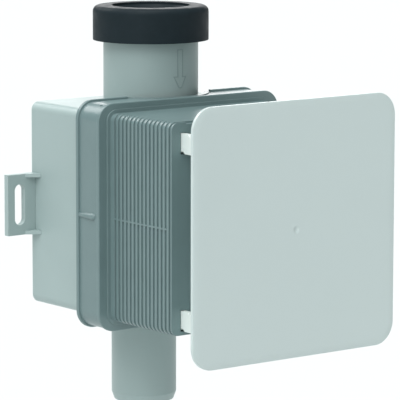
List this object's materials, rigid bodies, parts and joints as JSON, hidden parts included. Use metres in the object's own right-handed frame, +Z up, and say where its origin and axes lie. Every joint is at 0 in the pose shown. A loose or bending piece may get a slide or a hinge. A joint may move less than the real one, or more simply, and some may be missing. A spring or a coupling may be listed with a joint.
{
  "type": "concealed condensate trap",
  "caption": "In-wall condensate trap: wall box with lugs, ribbed cut-to-length plaster guard, pull-off cover on legs, stepped inlet seal and a removable cassette with water seal and ball.",
  "frame": {"origin": "centre of the wall box's back face, the face that lies on the wall", "axes": "+Z up along the inlet socket and outlet spigot, +Y into the wall, -Y towards the room and the cover, +X to the right as seen from the room"},
  "size_m": [0.127, 0.1456, 0.1954],
  "materials": {
    "box_grey": "moulded polypropylene, pale grey, satin",
    "guard_grey": "moulded polypropylene, dark grey, fine satin",
    "cover_white": "moulded styrene plastic, white, soft gloss",
    "seal_rubber": "moulded rubber, black, matt",
    "cassette_clear": "clear moulded plastic, slightly smoky",
    "grip_white": "moulded plastic, white",
    "ball_orange": "hollow moulded ball, smooth"
  },
  "bodies": {
    "trap": {"wall_box": "box_grey", "lug_left": "box_grey", "lug_right": "box_grey", "inlet_socket": "box_grey", "outlet_spigot": "box_grey", "inlet_seal": "seal_rubber", "guard_frame": "guard_grey", "frame_gasket": "seal_rubber", "cassette_body": "cassette_clear", "cassette_top": "cassette_clear", "bell": "cassette_clear", "cassette_grip": "grip_white", "seat_ring": "seal_rubber", "inlet_gasket": "seal_rubber", "outlet_gasket": "seal_rubber"},
    "cover": {"cover_plate": "cover_white"},
    "ball": {"float_ball": "ball_orange"}
  },
  "joints": [
    {"name": "cover_slide", "type": "slide", "parent": "trap", "child": "cover", "axis": [0, 1, 0], "range_m": [0, 0.0298]},
    {"name": "ball_lift", "type": "slide", "parent": "trap", "child": "ball", "axis": [0, 0, 1], "range_m": [0, 0.005]}
  ]
}
